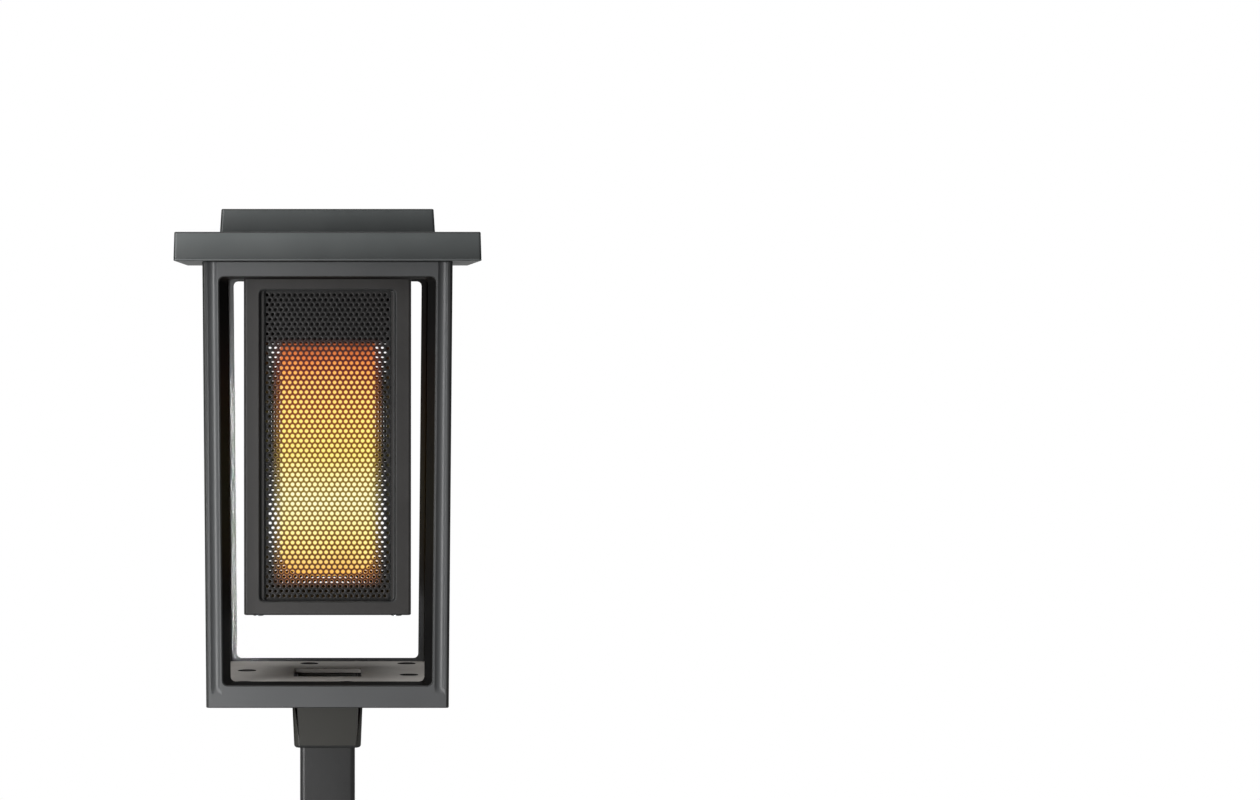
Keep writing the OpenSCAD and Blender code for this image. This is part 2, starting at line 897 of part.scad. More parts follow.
// Inner corner columns, which take the screws and leave a slot for each mesh sheet
module cage_columns() {
    near = column_x - column_w / 2;
    size = cage_room_w / 2 + eps - near;
    foot_z = cage_floor_z + cage_floor_t;
    hair = 0.001;
    difference() {
        on_four_sides()
            translate([near, near, foot_z])
                cube([size, size, eave_z - foot_z]);
        on_four_sides()
            translate([-sheet_w / 2 - snug, -cage_room_w / 2 - hair, cage_floor_z])
                cube([sheet_w + 2 * snug, sheet_t + snug, cage_h]);
    }
}

module cage_screws() {
    color(steel)
        on_four_corners(column_x)
            translate([0, 0, base_top_z])
                screw(base_top_z - eave_z + screw_depth - 2.5, points_up = false);
}

// Floor of the cage, with five slots for air
module cage_floor() {
    slot_len = 20;
    slot_gap = 2.4;
    slot_pitch = 6;
    color([0.2, 0.2, 0.2])
        difference() {
            translate([0, 0, cage_floor_z])
                square_block(cage_room_w - 2 * snug, cage_floor_t, 1);
            on_four_corners(column_x)
                translate([0, 0, cage_floor_z - eps])
                    cylinder(d = screw_hole_d, h = cage_floor_t + 2 * eps);
            for (i = [-2:2])
                translate([i * slot_pitch - slot_gap / 2, -slot_len / 2, cage_floor_z - eps])
                    cube([slot_gap, slot_len, cage_floor_t + 2 * eps]);
        }
}

module cage_floor_screws() {
    color(steel)
        on_four_corners(column_x)
            translate([0, 0, cage_floor_z])
                screw(cage_floor_t + 7);
}

// One mesh sheet, standing on the cage floor against the inside of the front wall
module mesh_sheet(turn) {
    color([0.24, 0.24, 0.24])
        rotate([0, 0, turn])
            translate([0, -cage_room_w / 2 + sheet_t, cage_floor_z + cage_floor_t + sheet_h / 2])
                rotate([90, 0, 0])
                    linear_extrude(height = sheet_t)
                        polygon(round_trapezoid(sheet_w, sheet_w, sheet_h, 2));
}

module mesh_front() {
    mesh_sheet(0);
}

module mesh_right() {
    mesh_sheet(90);
}

module mesh_back() {
    mesh_sheet(180);
}

module mesh_left() {
    mesh_sheet(270);
}

// ---- Flame module ----

module holder_screw_places() {
    for (turn = [30:120:270])
        rotate([0, 0, turn])
            translate([holder_screw_r, 0, 0])
                children();
}

// Black block that hangs from the roof base and fills the top of the cage, with a socket for the diffuser
module module_holder() {
    socket_r = holder_d / 2;
    step_z = holder_z + holder_lip;
    shelf_z = step_z + core_seat + 2.4;
    color(plastic_black)
        difference() {
            translate([0, 0, holder_z])
                square_block(holder_w, holder_h, 2);
            translate([0, 0, holder_z - eps])
                cylinder(r = socket_r, h = holder_lip + eps);
            translate([0, 0, step_z - eps])
                cylinder(r = core_d / 2 + 0.2, h = core_seat + eps);
            translate([0, 0, shelf_z])
                square_block(holder_w - 2 * holder_wall, eave_z - holder_cap_t - shelf_z, 1);
            translate([0, 0, step_z])
                cylinder(d = cable_hole_d, h = holder_h);
            holder_screw_places()
                translate([0, 0, eave_z - holder_cap_t - eps])
                    cylinder(d = screw_hole_d, h = holder_cap_t + 2 * eps);
        }
}

module holder_screws() {
    color(steel)
        holder_screw_places()
            translate([0, 0, eave_z - holder_cap_t])
                screw(holder_cap_t + base_edge + land_t - 0.6);
}

// Frosted sleeve with a rounded closed foot
module diffuser() {
    outer_r = diffuser_d / 2;
    inner_r = outer_r - diffuser_wall;
    inner_edge_r = diffuser_r - diffuser_wall;
    top = holder_z + holder_lip - diffuser_z;
    color([1, 0.72, 0.25])
        translate([0, 0, diffuser_z])
            rotate_extrude()
                polygon(concat(
                    [[0, 0]],
                    [for (a = [-90:10:0]) [
                        outer_r - diffuser_r + diffuser_r * cos(a),
                        diffuser_r + diffuser_r * sin(a)
                    ]],
                    [[outer_r, top], [inner_r, top]],
                    [for (a = [0:-10:-90]) [
                        outer_r - diffuser_r + inner_edge_r * cos(a),
                        diffuser_r + inner_edge_r * sin(a)
                    ]],
                    [[0, diffuser_wall]]
                ));
}

module twelve_sided(d, h) {
    rotate([0, 0, 15])
        cylinder(d = d, h = h, $fn = 12);
}

module led_core() {
    inner_d = core_d - 2 * board_t / cos(15) - 2 * core_wall;
    color([0.85, 0.85, 0.82])
        translate([0, 0, core_z])
            difference() {
                twelve_sided(core_d - 2 * board_t / cos(15), core_top_z - core_z);
                translate([0, 0, 2])
                    twelve_sided(inner_d, core_top_z - core_z);
            }
}

module led_board() {
    inner_d = core_d - 2 * board_t / cos(15);
    color([0.9, 0.9, 0.86])
        translate([0, 0, core_z])
            difference() {
                twelve_sided(core_d, holder_z + 2 - core_z);
                translate([0, 0, -eps])
                    twelve_sided(inner_d, holder_z + 2 - core_z + 2 * eps);
            }
}

module leds() {
    color([1, 0.85, 0.45])
        for (column = [0:led_columns - 1], row = [0:led_rows - 1])
            rotate([0, 0, column * 360 / led_columns])
                translate([core_face, -led_w / 2, core_z + 3 + row * led_pitch - led_h / 2 + 0.5])
                    cube([led_t, led_w, led_h]);
}

// ---- Power pieces in the roof ----

module board_screw_places() {
    for (sx = [-1, 1])
        translate([sx * (board_len / 2 - 4), board_y, 0])
            children();
}

module control_board() {
    color([0.05, 0.3, 0.12])
        difference() {
            translate([-board_len / 2, board_y - board_w / 2, board_z])
                cube([board_len, board_w, board_thick]);
            board_screw_places()
                translate([0, 0, board_z - eps])
                    cylinder(d = screw_hole_d, h = board_thick + 2 * eps);
        }
}

// Chips, capacitor and wire socket on the control board
module board_parts() {
    z = board_z + board_thick;
    color([0.1, 0.1, 0.1]) {
        translate([-6, board_y - 4, z])
            cube([8, 6, 1.6]);
        translate([-18, board_y + 4, z])
            cube([5, 4, 1.4]);
        translate([12, board_y - 8, z])
            cylinder(d = 5, h = 6);
        translate([8, board_y + 6, z])
            cube([9, 5, 4.5]);
    }
}

module board_screws() {
    color(steel)
        board_screw_places()
            translate([0, 0, board_z + board_thick])
                screw(board_thick + 1.6, points_up = false);
}

module battery_cell() {
    color([0.15, 0.35, 0.6])
        translate([-cell_len / 2, cell_y, cell_z])
            rotate([0, 90, 0]) {
                cylinder(d = cell_d, h = cell_len - 1.5);
                translate([0, 0, cell_len - 1.5])
                    cylinder(d = 6, h = 1.5);
            }
}

// Cradle with a rounded bed for the cell and a wall at each end
module battery_holder() {
    wall = 1.6;
    color(plastic_black)
        difference() {
            translate([-cradle_len / 2, cell_y - cradle_w / 2, base_top_z])
                cube([cradle_len, cradle_w, cradle_t + cell_d / 2]);
            translate([-cradle_len / 2 + wall, cell_y, cell_z])
                rotate([0, 90, 0])
                    cylinder(d = cell_d + 0.1, h = cradle_len - 2 * wall);
        }
}

module battery_contacts() {
    gap = cradle_len / 2 - 1.6;
    color([0.8, 0.78, 0.7]) {
        translate([gap - contact_t, cell_y - 5, cell_z - 5])
            cube([contact_t, 10, 5]);
        translate([cell_len / 2, cell_y - 2, cell_z - 2])
            cube([gap - contact_t - cell_len / 2, 4, 2]);
        translate([-gap, cell_y - 5, cell_z - 5])
            cube([contact_t, 10, 5]);
        translate([-gap + contact_t, cell_y, cell_z - 2])
            rotate([0, 90, 0])
                cylinder(d = 4, h = gap - contact_t - cell_len / 2);
    }
}

// Switch on an arch that leaves room for the button's flange to rise
module power_switch() {
    leg_w = 1.4;
    color([0.3, 0.3, 0.32])
        translate([-switch_w / 2, button_y - switch_d / 2, base_top_z])
            difference() {
                cube([switch_w, switch_d, button_arch + switch_h]);
                translate([leg_w, -eps, -eps])
                    cube([switch_w - 2 * leg_w, switch_d + 2 * eps, button_arch + eps]);
            }
}

// Button with a flange inside the roof that keeps it from falling out
module power_button() {
    rise = base_top_z + 0.1 - eave_z;
    color([0.1, 0.1, 0.1])
        translate([0, button_y, eave_z - button_out])
            union() {
                cylinder(d = button_d, h = button_out + rise);
                translate([0, 0, button_out + rise])
                    cylinder(d = button_flange_d, h = button_flange_t);
            }
}

module button_ring() {
    color(plastic_black)
        translate([0, button_y, eave_z - 0.8])
            difference() {
                cylinder(d = button_ring_d, h = 0.8);
                translate([0, 0, -eps])
                    cylinder(d = button_bore_d + 0.4, h = 0.8 + 2 * eps);
            }
}

// ---- Wires in the roof and the flame module ----

module solar_leads() {
    z = board_z + board_thick;
    lane = 1.2;
    start_x = 2 - board_len / 2;
    rise_x = 12 + ledge_w - tier_room_w / 2;
    color([0.7, 0.1, 0.1])
        for (side = [-1, 1])
            wire([
                [start_x + side * lane, board_y + 6, z],
                [start_x + side * lane, board_y + 6, z + 5],
                [rise_x + side * lane, 0, z + 5],
                [rise_x + side * lane, 0, gasket_z + gasket_t]
            ]);
}

module battery_leads() {
    z = board_z + board_thick;
    color([0.7, 0.1, 0.1])
        for (side = [-1, 1])
            wire([
                [side * 20, board_y + 9, z],
                [side * 20, board_y + 9, z + 4.5],
                [side * (cradle_len / 2 + 1.2), cell_y - cradle_w / 2 - 2, z + 4.5],
                [side * (cradle_len / 2 + 1.2), cell_y, z + 4.5],
                [side * cradle_len / 2, cell_y, z + 4.5]
            ]);
}

module switch_leads() {
    z = board_z + board_thick;
    lane_x = cradle_len / 2 + 5;
    lane_y = button_y - 11;
    color([0.1, 0.1, 0.1])
        for (side = [-1, 1])
            wire([
                [3 + side * 1.2, board_y + 13 - side * 1.2, z],
                [3 + side * 1.2, board_y + 13 - side * 1.2, z + 2.2],
                [lane_x + side * 1.2, board_y + 13 - side * 1.2, z + 2.2],
                [lane_x + side * 1.2, lane_y + side * 1.2, z + 2.2],
                [side * 1.6, lane_y + side * 1.2, z + 2.2],
                [side * 1.6, button_y - switch_d / 2, z + 2.2]
            ]);
}

module led_leads() {
    z = board_z + board_thick;
    color([0.7, 0.1, 0.1])
        for (side = [-1, 1])
            wire([
                [-8 + side * 1.2, board_y + 14, z],
                [-8 + side * 1.2, board_y + 14, z + 2],
                [side * 1.2, 0, z + 2],
                [side * 1.2, 0, core_z + 2]
            ]);
}

ground_stake();
pole_lower();
joint_insert();
pole_upper();
pole_socket();
socket_screws();
floor_tray();
tray_screws();
lantern_frame();
frame_screws();
roof_base();
roof_cap();
roof_screws();
solar_panel();
solar_cells();
panel_gasket();
cage_frame();
cage_screws();
cage_floor();
cage_floor_screws();
mesh_front();
mesh_back();
mesh_left();
mesh_right();
module_holder();
holder_screws();
diffuser();
led_core();
led_board();
leds();
control_board();
board_parts();
board_screws();
battery_cell();
battery_holder();
battery_contacts();
power_switch();
power_button();
button_ring();
solar_leads();
battery_leads();
switch_leads();
led_leads();
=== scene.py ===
# %% [markdown]
# # Solar flame lantern torch
# A square lantern on a two-section pole with a push-in ground stake. The measured model is
# loaded as a fixed frame, and this lesson dresses it: some parts get finer meshes of the same
# size, and every part gets a finish built from nodes. All sizes are in metres.

# %% Load the frame
import json
import math
import bmesh
import bpy
from mathutils import Matrix, Vector


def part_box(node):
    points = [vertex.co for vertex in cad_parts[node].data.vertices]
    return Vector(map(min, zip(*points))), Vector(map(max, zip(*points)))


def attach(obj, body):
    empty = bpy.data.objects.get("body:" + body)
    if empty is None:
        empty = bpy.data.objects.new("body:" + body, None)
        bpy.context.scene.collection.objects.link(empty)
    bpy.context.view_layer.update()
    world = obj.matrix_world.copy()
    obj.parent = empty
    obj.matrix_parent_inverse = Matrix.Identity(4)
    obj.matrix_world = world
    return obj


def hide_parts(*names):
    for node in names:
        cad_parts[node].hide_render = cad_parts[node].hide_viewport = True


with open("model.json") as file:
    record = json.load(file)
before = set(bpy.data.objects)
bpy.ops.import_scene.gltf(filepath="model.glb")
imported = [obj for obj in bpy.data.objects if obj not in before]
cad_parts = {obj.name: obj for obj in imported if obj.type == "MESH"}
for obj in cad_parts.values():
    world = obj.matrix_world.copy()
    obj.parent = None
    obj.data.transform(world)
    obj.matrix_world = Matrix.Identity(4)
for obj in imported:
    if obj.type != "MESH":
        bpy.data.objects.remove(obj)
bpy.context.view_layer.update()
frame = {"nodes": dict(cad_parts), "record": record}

MM = 0.001
nodes = frame["nodes"]
print("parts in the frame:", len(nodes))

# %% [markdown]
# Every measured part has a box, and new pieces take their places from those boxes. A short
# function gives a box's lowest and highest corner as vectors.

# %% Boxes of the measured parts
def corners(part):
    low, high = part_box(part)
    return Vector(low), Vector(high)


frame_low, frame_high = corners("lantern_frame")
print("lantern frame height:", round(frame_high.z - frame_low.z, 4))

# %% [markdown]
# Each piece ends the same way: its bmesh becomes a mesh, edges sharper than a limit stay crisp
# while the rest shade smoothly, the piece is attached to the body it rides on, and the measured
# parts it stands for are hidden. Weighted normals keep large flat faces flat
# beside small rounded edges.

# %% Turn a bmesh into a finished piece
def finish_piece(bm, name, body, stands_for=(), crisp=40):
    mesh = bpy.data.meshes.new(name)
    bm.to_mesh(mesh)
    bm.free()
    mesh.shade_smooth()
    mesh.set_sharp_from_angle(angle=math.radians(crisp))
    piece = bpy.data.objects.new(name, mesh)
    bpy.context.scene.collection.objects.link(piece)
    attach(piece, body)
    if stands_for:
        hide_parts(*stands_for)
    print("made", name, "with", len(mesh.polygons), "faces")
    return piece


def keep_faces_flat(piece):
    normals = piece.modifiers.new("flat faces stay flat", "WEIGHTED_NORMAL")
    normals.keep_sharp = True


# %% [markdown]
# A moulded or folded part never has a perfectly sharp edge, and the thin line of shade or light
# along a rounded edge is what makes it look real. For parts whose outline is already right, a
# copy of the measured mesh is welded and its flat faces are joined. Each sharp edge then gets a
# weight, which says how much of the full rounding it takes.

# %% Weld a measured mesh and weigh its edges
WELD_DISTANCE = 0.002 * MM
FLAT_WITHIN = math.radians(0.6)
SHARP_EDGE = math.radians(58)


def welded(part):
    bm = bmesh.new()
    bm.from_mesh(nodes[part].data)
    bmesh.ops.remove_doubles(bm, verts=bm.verts, dist=WELD_DISTANCE)
    bmesh.ops.dissolve_limit(bm, angle_limit=FLAT_WITHIN, verts=bm.verts, edges=bm.edges)
    return bm


def full_weight(edge):
    return 1.0


def weigh_edges(bm, weight_of):
    weight = bm.edges.layers.float.new("bevel_weight_edge")
    for edge in bm.edges:
        if len(edge.link_faces) == 2 and edge.calc_face_angle(0) > SHARP_EDGE:
            edge[weight] = weight_of(edge)


# %% [markdown]
# A Bevel modifier rounds the weighted edges. The faces it makes take the piece's second
# material, a darker finish that is painted shade along each rounded edge. A part can first
# paint some of its faces with another of its materials.

# %% Copy a measured part and round its edges
EDGE_FINISH = 1


def rounded_copy(part, name, body, width, segments=3, weight_of=full_weight, paint=None):
    bm = welded(part)
    weigh_edges(bm, weight_of)
    if paint:
        paint(bm)
    piece = finish_piece(bm, name, body, (part,))
    bevel = piece.modifiers.new("rounded edges", "BEVEL")
    bevel.limit_method = "WEIGHT"
    bevel.width = width
    bevel.segments = segments
    bevel.profile = 0.5
    bevel.use_clamp_overlap = False
    bevel.material = EDGE_FINISH
    keep_faces_flat(piece)
    return piece


# %% [markdown]
# A piece that is built from nothing has its sharp edges rounded in the bmesh itself.

# %% Round the edges of a new bmesh
def round_edges(bm, width, segments=3, sharper_than=40):
    limit = math.radians(sharper_than)
    edges = [e for e in bm.edges if len(e.link_faces) == 2 and e.calc_face_angle(0) > limit]
    made = bmesh.ops.bevel(bm, geom=edges, offset=width, offset_type="OFFSET", segments=segments,
                           affect="EDGES", profile=0.5, clamp_overlap=True, material=-1)
    # The rounded faces take the second material: painted shade along the edge.
    for face in made["faces"]:
        face.material_index = EDGE_FINISH


# %% [markdown]
# ## Finishes
# A finish is a small tree of nodes. This helper adds one node, fills its sockets and joins
# whatever it is given, so that each finish below reads as a short recipe.

# %% Node helpers
def srgb(code):
    parts = [int(code[i:i + 2], 16) / 255 for i in (0, 2, 4)]
    return tuple(c / 12.92 if c <= 0.04045 else ((c + 0.055) / 1.055) ** 2.4 for c in parts) + (1,)


class Recipe:
    """A material and the tree that it is built from."""

    def __init__(self, name):
        self.material = bpy.data.materials.new(name)
        self.material.use_nodes = True
        self.tree = self.material.node_tree
        self.shader = self.tree.nodes["Principled BSDF"]
        self.place = self.add("ShaderNodeTexCoord").outputs["Object"]

    def add(self, kind, settings=None, **sockets):
        node = self.tree.nodes.new(kind)
        for key, value in (settings or {}).items():
            setattr(node, key, value)
        for key, value in sockets.items():
            self.put(node, key.replace("_", " "), value)
        return node

    def put(self, node, key, value):
        socket = node.inputs[key]
        if isinstance(value, bpy.types.NodeSocket):
            self.tree.links.new(value, socket)
        else:
            socket.default_value = value

    def set(self, **sockets):
        for key, value in sockets.items():
            self.put(self.shader, key.replace("_", " "), value)

    def noise(self, scale, detail=3.0, roughness=0.5, stretch=None):
        place = self.place
        if stretch:
            place = self.add("ShaderNodeMapping", Vector=place, Scale=stretch).outputs[0]
        node = self.add("ShaderNodeTexNoise", Vector=place, Scale=scale, Detail=detail,
                        Roughness=roughness)
        return node.outputs["Fac"]

    def between(self, value, low, high, from_low=0.3, from_high=0.7):
        node = self.add("ShaderNodeMapRange", Value=value)
        node.inputs["From Min"].default_value = from_low
        node.inputs["From Max"].default_value = from_high
        node.inputs["To Min"].default_value = low
        node.inputs["To Max"].default_value = high
        return node.outputs["Result"]

    def mix(self, factor, first, second):
        node = self.add("ShaderNodeMix", {"data_type": "RGBA"})
        self.put(node, 0, factor)
        self.put(node, 6, first)
        self.put(node, 7, second)
        return node.outputs[2]

    def maths(self, operation, first, second):
        node = self.add("ShaderNodeMath", {"operation": operation})
        self.put(node, 0, first)
        self.put(node, 1, second)
        return node.outputs[0]

    def axis(self, letter):
        return self.add("ShaderNodeSeparateXYZ", Vector=self.place).outputs[letter]

    def shaded_step(self, tone, low, high, deepest):
        """Paint shade on a band of heights, darkening smoothly toward its lower end."""
        height = self.axis("Z")
        inside = self.maths("MULTIPLY", self.maths("GREATER_THAN", height, low),
                            self.maths("LESS_THAN", height, high + 0.001))
        shade = self.between(height, deepest, 0.0, low, low + 0.8 * (high - low))
        return self.mix(self.maths("MULTIPLY", inside, shade), tone, (0, 0, 0, 1))

    def nearer_axis(self):
        """Give how far across a side a place lies, whichever of the four sides it is on."""
        return self.maths("MINIMUM", *(self.maths("ABSOLUTE", self.axis(a), 0) for a in "XY"))

    def shaded_corner(self, tone, outer, width, deepest):
        """Paint shade on the outermost strip of the four corner posts."""
        shade = self.between(self.nearer_axis(), 0.0, deepest, outer - width * 1.3, outer - width)
        return self.mix(shade, tone, (0, 0, 0, 1))

    def bump(self, height, strength, distance, below=None):
        node = self.add("ShaderNodeBump", Height=height, Strength=strength, Distance=distance)
        if below:
            self.put(node, "Normal", below)
        return node.outputs["Normal"]


print("recipes can be written")

# %% [markdown]
# The lantern, the roof and the stake are moulded in dark plastic. Its skin has a very fine
# grain from the mould, slow differences in gloss where it has been handled, slightly paler
# edges where it rubs, and a little dust on what faces up. The roof's two upright faces and the
# outer strips of the corner posts also get painted shade that darkens smoothly.

# %% Moulded plastic
DUST = srgb("b7b1a6")


def brighter(colour, times, plus=0.0):
    return tuple(min(1, c * times + plus) for c in colour[:3]) + (1,)


def moulded_plastic(name, colour, roughness, grain=0.12, wear=0.3, dust=0.10, specular=0.5,
                    shaded_steps=(), shaded_corner=None):
    r = Recipe(name)
    base = srgb(colour)
    tone = r.mix(r.between(r.noise(14, 4), 0.0, 1.0), base, brighter(base, 1.16))
    geometry = r.add("ShaderNodeNewGeometry")
    rub = r.between(geometry.outputs["Pointiness"], 0.0, wear, 0.52, 0.62)
    tone = r.mix(rub, tone, brighter(base, 1.6, plus=0.01))
    # Painted shade: roof bands darken downward, and the posts' outer strips darken.
    for step_low, step_high, deepest in shaded_steps:
        tone = r.shaded_step(tone, step_low, step_high, deepest)
    if shaded_corner:
        tone = r.shaded_corner(tone, *shaded_corner)
    up = r.add("ShaderNodeSeparateXYZ", Vector=geometry.outputs["Normal"]).outputs["Z"]
    lying = r.between(up, 0.0, 1.0, 0.75, 1.0)
    specks = r.between(r.noise(260, 5, 0.7), 0.0, dust, 0.45, 0.75)
    tone = r.mix(r.maths("MULTIPLY", lying, specks), tone, DUST)
    normal = r.bump(r.noise(2600, 2, 0.6), grain, 0.06 * MM)
    normal = r.bump(r.noise(420, 3, 0.55), grain * 0.5, 0.12 * MM, normal)
    r.set(Base_Color=tone, Normal=normal, Specular_IOR_Level=specular,
          Roughness=r.between(r.noise(38, 4, 0.6), roughness - 0.05, roughness + 0.07))
    return r.material


EAVE_HEIGHT = 12.9 * MM
roof_low, roof_high = corners("roof_cap")
tier_z = roof_low.z + EAVE_HEIGHT
# roof_steps are bands of painted shade: each upright roof face darkens toward its lower edge.
roof_steps = ((tier_z, roof_high.z, 0.35), (roof_low.z, tier_z, 0.55))
finishes = {
    # The lantern plastic gets painted shade on the outer strips of its corner posts.
    "lantern_plastic": moulded_plastic("lantern plastic", "3d3e3f", 0.42,
                                       shaded_corner=(frame_high.x, 2.2 * MM, 0.7)),
    "roof_plastic": moulded_plastic("roof plastic", "3e4141", 0.40, shaded_steps=roof_steps),
    "stake_plastic": moulded_plastic("stake plastic", "26272a", 0.46, grain=0.2),
    "insert_plastic": moulded_plastic("insert plastic", "202123", 0.5),
    "holder_plastic": moulded_plastic("holder plastic", "070707", 0.6, dust=0.0, specular=0.2),
    "chip_black": moulded_plastic("chip plastic", "1c1c1d", 0.5, dust=0.02),
    "button_rubber": moulded_plastic("button rubber", "161617", 0.7, grain=0.3),
    "gasket_rubber": moulded_plastic("gasket foam", "1b1b1b", 0.9, grain=0.6),
    "core_plastic": moulded_plastic("core plastic", "dcdad2", 0.45, wear=0.0),
}
# Painted shade: a dark finish for rounded edges, roof corners and the posts' corner strips.
painted_edge_shade = moulded_plastic("dark painted edge shade", "191a1a", 0.5, wear=0.1, dust=0.0, specular=0.35)
# Painted shade: a black finish for the window walls, the tray's marks and the socket's top.
black_painted_shade = moulded_plastic("black painted shade", "050505", 0.6, wear=0.0, dust=0.0,
                               specular=0.15)
floor_plastic = moulded_plastic("floor plastic", "8b8884", 0.45, dust=0.25)
socket_plastic = moulded_plastic("socket plastic", "24231e", 0.44, dust=0.05)
print("plastics:", *finishes, "and four for parts of pieces")

# %% [markdown]
# The pole, the cage and the mesh are steel with a baked powder coat. Powder flows into a soft
# orange-peel skin, so the bump is rounder and larger than mould grain, and the gloss is even.
# The pole's paint has painted shade, darker toward its right side.

# %% Powder coat
BARE_METAL = srgb("6d6e70")
HALF_POLE = 14 * MM


def orange_peel(r, strength):
    skin = r.bump(r.noise(750, 2, 0.4), strength, 0.10 * MM)
    return r.bump(r.noise(160, 2, 0.4), strength * 0.6, 0.18 * MM, skin)


def powder_coat(name, colour, roughness, right_side_shade=None):
    r = Recipe(name)
    base = srgb(colour)
    tone = r.mix(r.between(r.noise(22, 4), 0.0, 1.0), base, brighter(base, 1.15))
    # Painted shade: the pole's tone darkens across it toward its right side.
    if right_side_shade:
        right_shade = r.between(r.axis("X"), 0.0, 1.0, -HALF_POLE, HALF_POLE)
        tone = r.mix(right_shade, tone, srgb(right_side_shade))
    rub = r.between(r.add("ShaderNodeNewGeometry").outputs["Pointiness"], 0.0, 0.3, 0.53, 0.65)
    tone = r.mix(rub, tone, BARE_METAL)
    r.set(Base_Color=tone, Normal=orange_peel(r, 0.25), Specular_IOR_Level=0.5,
          Roughness=r.between(r.noise(50, 4, 0.6), roughness - 0.04, roughness + 0.06))
    return r.material


finishes["pole_paint"] = powder_coat("pole powder coat", "171717", 0.42, right_side_shade="090909")
finishes["cage_paint"] = powder_coat("cage powder coat", "1f1d1c", 0.45)
print("powder coats: pole_paint cage_paint")

# %% [markdown]
# The punched sheets stand right round the glow, so their webs get a painted glow in its colour,
# standing in for light that scatters in the holes: dark red near the top of the flame and olive
# where it is brightest, dying away toward the sides and above the sleeve.

# %% Punched sheet finish
sleeve_low, sleeve_high = corners("diffuser")
glow_top = corners("module_holder")[0].z


def colour_ramp(r, value, stops):
    ramp = r.add("ShaderNodeValToRGB", Fac=value)
    marks = ramp.color_ramp.elements
    marks[0].position, marks[0].color = stops[0][0], srgb(stops[0][1])
    marks[1].position, marks[1].color = stops[-1][0], srgb(stops[-1][1])
    for position, colour in stops[1:-1]:
        marks.new(position).color = srgb(colour)
    return ramp.outputs["Color"]


def lit_sheet(name, colour, unlit, stops):
    r = Recipe(name)
    height = r.axis("Z")
    level = r.between(height, 0.0, 1.0, sleeve_low.z, glow_top)
    tint = colour_ramp(r, level, stops)
    near = r.between(r.nearer_axis(), 1.0, 0.0, 21 * MM, 28 * MM)
    under = r.between(height, 0.0, 1.0, sleeve_low.z - 4 * MM, sleeve_low.z + 4 * MM)
    below_top = r.between(height, 1.0, 0.0, glow_top - 2 * MM, glow_top + 3 * MM)
    lit = r.maths("MULTIPLY", near, r.maths("MULTIPLY", under, below_top))
    tone = r.mix(r.between(r.noise(60, 4), 0.0, 1.0), srgb(colour), srgb(unlit))
    # Painted glow: near the flame the steel's tone darkens and its emission takes the flame's tint.
    tone = r.mix(lit, tone, srgb("0b0806"))
    glow = r.mix(lit, (0, 0, 0, 1), tint)
    r.set(Base_Color=tone, Normal=orange_peel(r, 0.12), Emission_Color=glow, Emission_Strength=1.0,
          Specular_IOR_Level=0.3, Roughness=r.between(r.noise(50, 4, 0.6), 0.45, 0.55))
    return r.material


finishes["mesh_paint"] = lit_sheet("mesh powder coat with painted glow", "141313", "0c0c0c", [
    (0.0, "4a1500"), (0.16, "6e4600"), (0.34, "86702c"), (0.52, "7a5200"), (0.73, "783400"),
    (0.89, "5a0c00"), (1.0, "2b0d03")])
# The holes' rolled edges get a lighter painted highlight and a brighter painted glow.
rolled_edge_painted_glow = lit_sheet("mesh rolled edges painted glow", "2b2727", "1e1b1b", [
    (0.0, "e08830"), (0.16, "eec04c"), (0.34, "f6e690"), (0.52, "f2ca4c"), (0.73, "ea9c2e"),
    (0.89, "c85c1c"), (1.0, "6a2410")])
print("the sheets' glow reaches from", round(sleeve_low.z, 4), "to", round(glow_top, 4))

# %% [markdown]
# Screws are zinc plated, with fine turning lines, and the battery's contacts are plated too.

# %% Bright metal
def bright_metal(name, colour, roughness):
    r = Recipe(name)
    streaks = r.noise(900, 4, 0.7, stretch=(1, 1, 9))
    tone = r.mix(r.between(r.noise(120, 4), 0.0, 1.0), srgb(colour), srgb("8d8f92"))
    r.set(Base_Color=tone, Metallic=1.0, Normal=r.bump(streaks, 0.2, 0.05 * MM),
          Roughness=r.between(streaks, roughness - 0.06, roughness + 0.12))
    return r.material


finishes["screw_steel"] = bright_metal("zinc plate", "b9bcc0", 0.32)
finishes["contact_metal"] = bright_metal("plated contact", "cdb98a", 0.28)
print("metals: screw_steel contact_metal")

# %% [markdown]
# Boards have a solder mask, the wires a soft sleeve and the battery a shrink sleeve. All of them
# are plastics under a thin clear coat.

# %% Coated sleeves and boards
def coated(name, colour, second, roughness, scale):
    r = Recipe(name)
    tone = r.mix(r.between(r.noise(scale, 4, 0.6), 0.0, 1.0), srgb(colour), srgb(second))
    r.set(Base_Color=tone, Normal=r.bump(r.noise(scale * 8, 2), 0.08, 0.08 * MM),
          Roughness=r.between(r.noise(scale * 2, 3), roughness - 0.05, roughness + 0.1),
          Coat_Weight=0.4, Coat_Roughness=0.1)
    return r.material


finishes["circuit_board"] = coated("green solder mask", "0d3b1c", "14502a", 0.35, 140)
finishes["led_flex"] = coated("white solder mask", "e6e3d8", "d6d2c4", 0.4, 90)
finishes["panel_board"] = coated("panel laminate", "c9cec9", "b9bfbb", 0.35, 120)
finishes["wire_sleeve"] = coated("wire sleeve", "8a1414", "701010", 0.4, 300)
finishes["cell_sleeve"] = coated("battery sleeve", "1d4777", "173a66", 0.3, 60)
print("finishes so far:", len(finishes))

# %% [markdown]
# ## The glow
# Behind the frosted sleeve ninety-six lights flicker like a flame. Seen from outside the sleeve
# is one soft glow: pale yellow low down, then yellow, orange and a dull red at its top. The
# colours follow the height, and slow tongues of noise push them up and down so that no line
# is ruler-straight.

